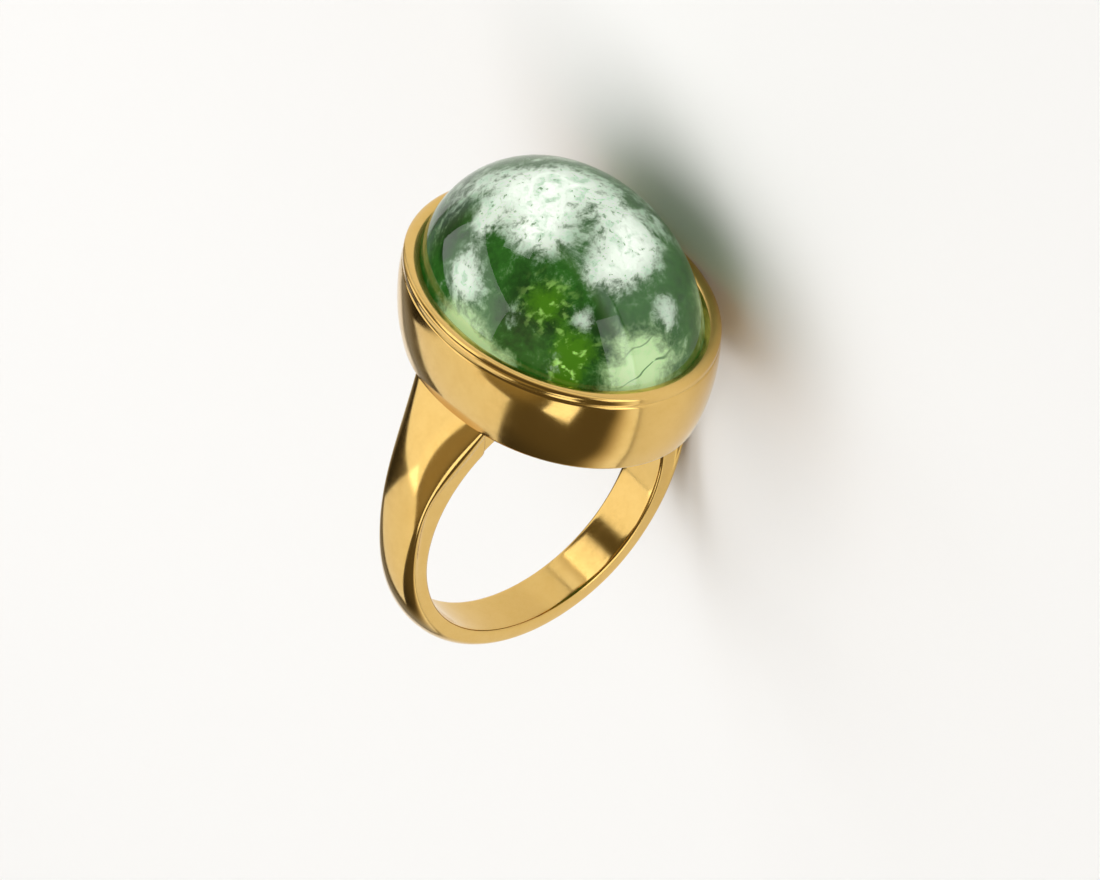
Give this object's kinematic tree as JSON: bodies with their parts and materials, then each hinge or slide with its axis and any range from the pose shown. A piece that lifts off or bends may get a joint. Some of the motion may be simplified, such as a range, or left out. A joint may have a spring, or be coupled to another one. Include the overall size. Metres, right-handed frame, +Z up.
{
  "type": "cabochon ring",
  "caption": "Gold ring with a large oval green cabochon in a smooth bezel cup, lying on one side.",
  "frame": {"origin": "centre of the resting ring's box, on the surface that it lies on", "axes": "+Z up, +X along the finger, the stone faces -Y"},
  "size_m": [0.0214, 0.0332, 0.0211],
  "materials": {
    "gold": "polished",
    "green_stone": "polished, translucent, with pale clouds inside"
  },
  "bodies": {
    "root": {"ring_mount": "gold", "cabochon": "green_stone"}
  },
  "joints": []
}
